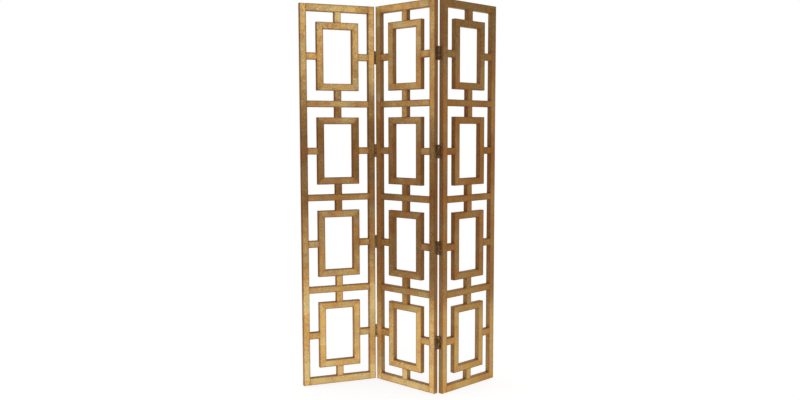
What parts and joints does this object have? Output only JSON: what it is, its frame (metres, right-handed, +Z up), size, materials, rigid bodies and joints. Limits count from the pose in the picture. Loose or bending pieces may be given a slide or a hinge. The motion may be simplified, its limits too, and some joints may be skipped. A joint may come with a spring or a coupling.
{
  "type": "fretwork folding screen",
  "caption": "Tall folding screen of gilded wood fretwork: panels of framed rectangular rings on short spacers, joined in a zigzag by butt hinges.",
  "frame": {"origin": "middle of the underside of the centre panel's bottom rail, at the floor and midway through the panel's thickness", "axes": "+Z up along the panels' height; +X along the centre panel to its right edge, seen from the front; the centre panel's front faces -Y"},
  "size_m": [0.6355, 0.7147, 1.829],
  "materials": {
    "gilded_wood": "satin gold leaf over red clay on wood",
    "bare_wood": "bare beech",
    "aged_bronze": "dark aged bronze",
    "screw_metal": "dull aged brass"
  },
  "bodies": {
    "left_panel": {"left_outer_stile": "gilded_wood", "left_inner_stile": "gilded_wood", "left_bottom_rail": "gilded_wood", "left_lower_rail": "gilded_wood", "left_middle_rail": "gilded_wood", "left_upper_rail": "gilded_wood", "left_top_rail": "gilded_wood", "left_ring_1": "gilded_wood", "left_ring_2": "gilded_wood", "left_ring_3": "gilded_wood", "left_ring_4": "gilded_wood", "left_spacers": "gilded_wood", "left_dowels": "bare_wood", "left_screws": "screw_metal", "left_hinge_1_side_leaf": "aged_bronze", "left_hinge_2_side_leaf": "aged_bronze", "left_hinge_3_side_leaf": "aged_bronze", "left_hinge_4_side_leaf": "aged_bronze"},
    "centre_panel": {"centre_left_stile": "gilded_wood", "centre_right_stile": "gilded_wood", "centre_bottom_rail": "gilded_wood", "centre_lower_rail": "gilded_wood", "centre_middle_rail": "gilded_wood", "centre_upper_rail": "gilded_wood", "centre_top_rail": "gilded_wood", "centre_ring_1": "gilded_wood", "centre_ring_2": "gilded_wood", "centre_ring_3": "gilded_wood", "centre_ring_4": "gilded_wood", "centre_spacers": "gilded_wood", "centre_dowels": "bare_wood", "centre_screws": "screw_metal", "left_hinge_1_centre_leaf": "aged_bronze", "left_hinge_2_centre_leaf": "aged_bronze", "left_hinge_3_centre_leaf": "aged_bronze", "left_hinge_4_centre_leaf": "aged_bronze", "right_hinge_1_centre_leaf": "aged_bronze", "right_hinge_2_centre_leaf": "aged_bronze", "right_hinge_3_centre_leaf": "aged_bronze", "right_hinge_4_centre_leaf": "aged_bronze", "hinge_pins": "aged_bronze"},
    "right_panel": {"right_inner_stile": "gilded_wood", "right_outer_stile": "gilded_wood", "right_bottom_rail": "gilded_wood", "right_lower_rail": "gilded_wood", "right_middle_rail": "gilded_wood", "right_upper_rail": "gilded_wood", "right_top_rail": "gilded_wood", "right_ring_1": "gilded_wood", "right_ring_2": "gilded_wood", "right_ring_3": "gilded_wood", "right_ring_4": "gilded_wood", "right_spacers": "gilded_wood", "right_dowels": "bare_wood", "right_screws": "screw_metal", "right_hinge_1_side_leaf": "aged_bronze", "right_hinge_2_side_leaf": "aged_bronze", "right_hinge_3_side_leaf": "aged_bronze", "right_hinge_4_side_leaf": "aged_bronze"}
  },
  "joints": [
    {"name": "left_fold", "type": "hinge", "parent": "centre_panel", "child": "left_panel", "pos_m": [-0.1866, -0.01225, 0], "axis": [0, 0, 1], "range_deg": [-61, 119]},
    {"name": "right_fold", "type": "hinge", "parent": "centre_panel", "child": "right_panel", "pos_m": [0.1866, 0.01225, 0], "axis": [0, 0, 1], "range_deg": [-84, 96]}
  ]
}
